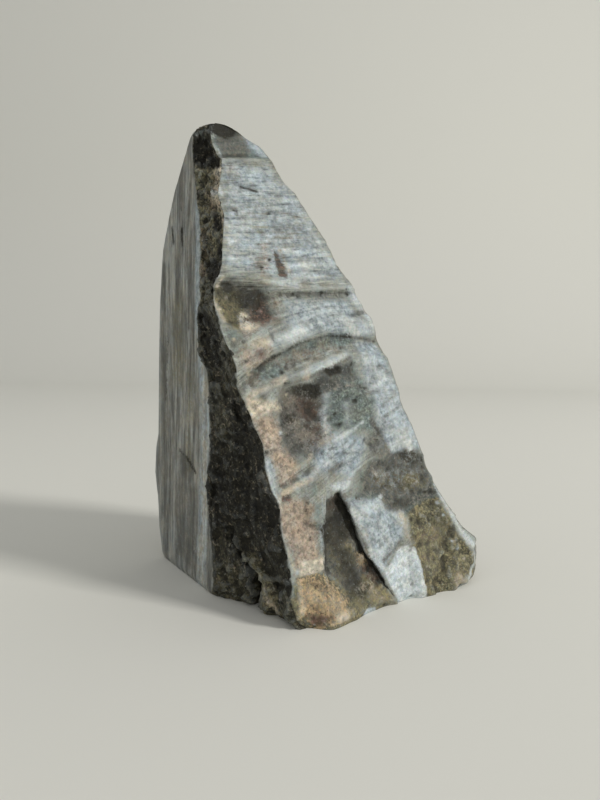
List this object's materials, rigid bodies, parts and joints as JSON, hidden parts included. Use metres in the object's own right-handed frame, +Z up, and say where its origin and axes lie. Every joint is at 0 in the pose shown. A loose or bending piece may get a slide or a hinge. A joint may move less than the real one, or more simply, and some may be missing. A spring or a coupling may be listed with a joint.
{
  "type": "soapstone block",
  "caption": "Rough wedge-shaped block of carving soapstone with one sawn side, broken faces and a narrow ridge top, standing on its flat foot.",
  "frame": {"origin": "middle of the bounding box in plan, on the flat foot", "axes": "+Z up from the foot to the ridge, -Y towards the broad leaning front break, -X towards the upright sawn face"},
  "size_m": [0.1628, 0.1246, 0.207],
  "materials": {
    "soapstone": "dry broken soapstone, grey-green to pale blue-grey, with olive and ochre weathered rind"
  },
  "bodies": {
    "root": {"soapstone_block": "soapstone"}
  },
  "joints": []
}
